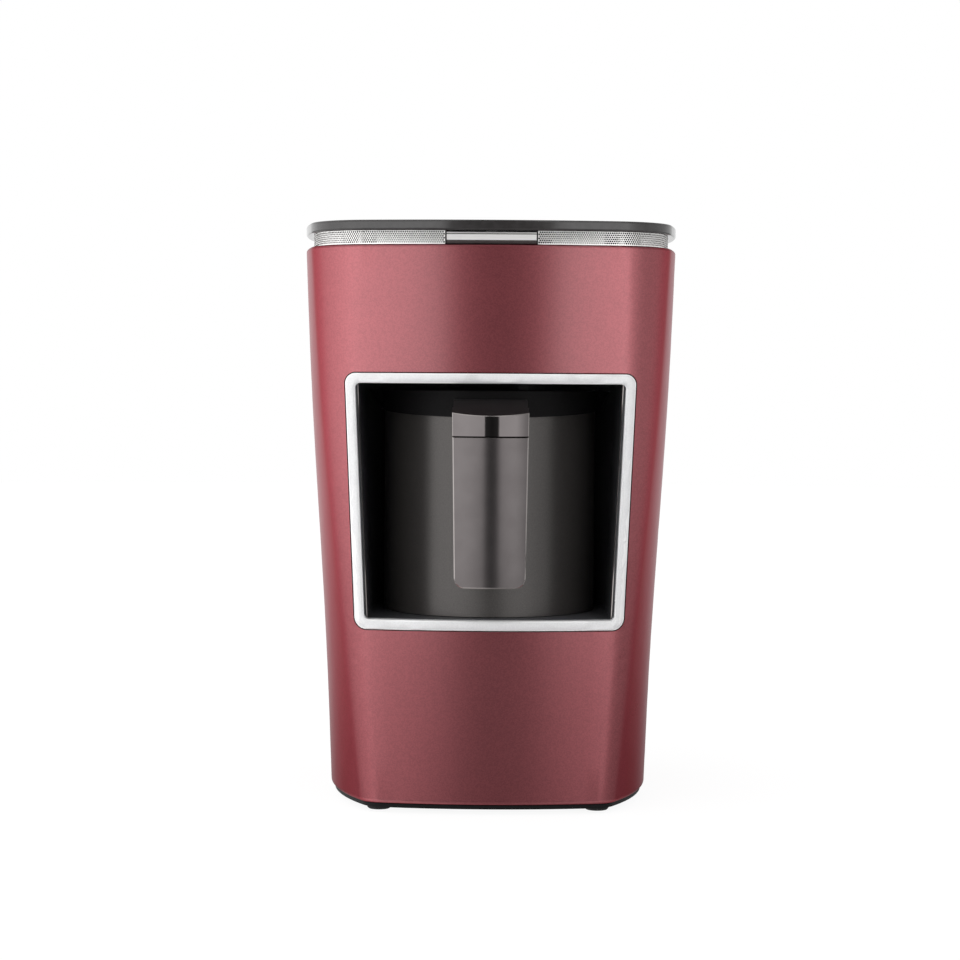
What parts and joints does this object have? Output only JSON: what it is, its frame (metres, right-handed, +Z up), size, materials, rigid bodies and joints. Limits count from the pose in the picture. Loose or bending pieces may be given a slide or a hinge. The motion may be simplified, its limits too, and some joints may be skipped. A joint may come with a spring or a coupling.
{
  "type": "electric turkish coffee maker",
  "caption": "Tapered metallic-red coffee maker; its handled pot slides out of a framed chamber, under a perforated vent band with a push bar and a flat top plate.",
  "frame": {"origin": "centre of the bounding box's footprint, on the plane that the feet stand on", "axes": "+Z up; the window, the pot's handle and the start bar face -Y; +X is on the right as seen from the front"},
  "size_m": [0.1586, 0.188, 0.243],
  "materials": {
    "red_metallic": "metallic satin paint",
    "chrome_trim": "satin chrome",
    "chamber_black": "gloss",
    "black_plastic": "fine satin",
    "smoke_gloss": "gloss, smoke grey",
    "perforated_steel": "perforated steel strip",
    "silver_trim": "satin",
    "handle_satin": "satin, dark grey",
    "handle_gloss": "gloss, dark grey",
    "pot_metal": "dark grey metallic coating",
    "board_green": "solder mask",
    "component_black": "moulded",
    "transformer_yellow": "taped",
    "terminal_green": "moulded",
    "clear_lens": "clear",
    "cable_grey": "jacket",
    "contact_brass": "bright",
    "foot_rubber": "matt",
    "zinc_screw": "zinc plated",
    "heater_alloy": "as rolled",
    "element_steel": "plain",
    "silicone": "silicone"
  },
  "bodies": {
    "housing": {"outer_shell": "red_metallic", "window_bezel": "chrome_trim", "chamber_liner": "chamber_black", "steam_duct": "black_plastic", "base_plate": "black_plastic", "chassis": "black_plastic", "top_carrier": "black_plastic", "vent_band": "perforated_steel", "top_plate": "smoke_gloss", "button_guide": "black_plastic", "control_board": "board_green", "start_switch": "component_black", "buzzer": "component_black", "controller_chip": "component_black", "sensor_housing": "black_plastic", "sensor_lens": "clear_lens", "sensor_cable": "cable_grey", "power_board": "board_green", "transformer": "transformer_yellow", "relay": "component_black", "capacitor": "component_black", "terminal_block": "terminal_green", "socket_housing": "black_plastic", "socket_contacts": "contact_brass", "socket_leads": "cable_grey", "control_harness": "cable_grey", "cord_gland": "black_plastic", "gland_nut": "black_plastic", "foot_front_left": "foot_rubber", "foot_front_right": "foot_rubber", "foot_rear_left": "foot_rubber", "foot_rear_right": "foot_rubber", "shell_screws": "zinc_screw", "chassis_screws": "zinc_screw", "plate_screws": "zinc_screw", "power_board_screws": "zinc_screw", "control_board_screws": "zinc_screw", "carrier_screws": "zinc_screw"},
    "pot": {"pot_body": "pot_metal", "pot_collar": "black_plastic", "heater_plate": "heater_alloy", "heating_element": "element_steel", "pot_thermostat": "element_steel", "pot_cover": "black_plastic", "pot_seal": "silicone", "plug_housing": "black_plastic", "plug_pins": "contact_brass", "handle_face": "handle_satin", "handle_core": "black_plastic", "handle_cap": "handle_gloss", "pot_cover_screws": "zinc_screw", "handle_screws": "zinc_screw"},
    "button": {"start_button": "silver_trim"}
  },
  "joints": [
    {"name": "pot_slide", "type": "slide", "parent": "housing", "child": "pot", "axis": [0, -1, 0], "range_m": [0, 0.125]},
    {"name": "button_press", "type": "slide", "parent": "housing", "child": "button", "axis": [0, 1, 0], "range_m": [0, 0.0012], "stiffness_N_per_m": 800, "springref_m": -0.0005}
  ]
}
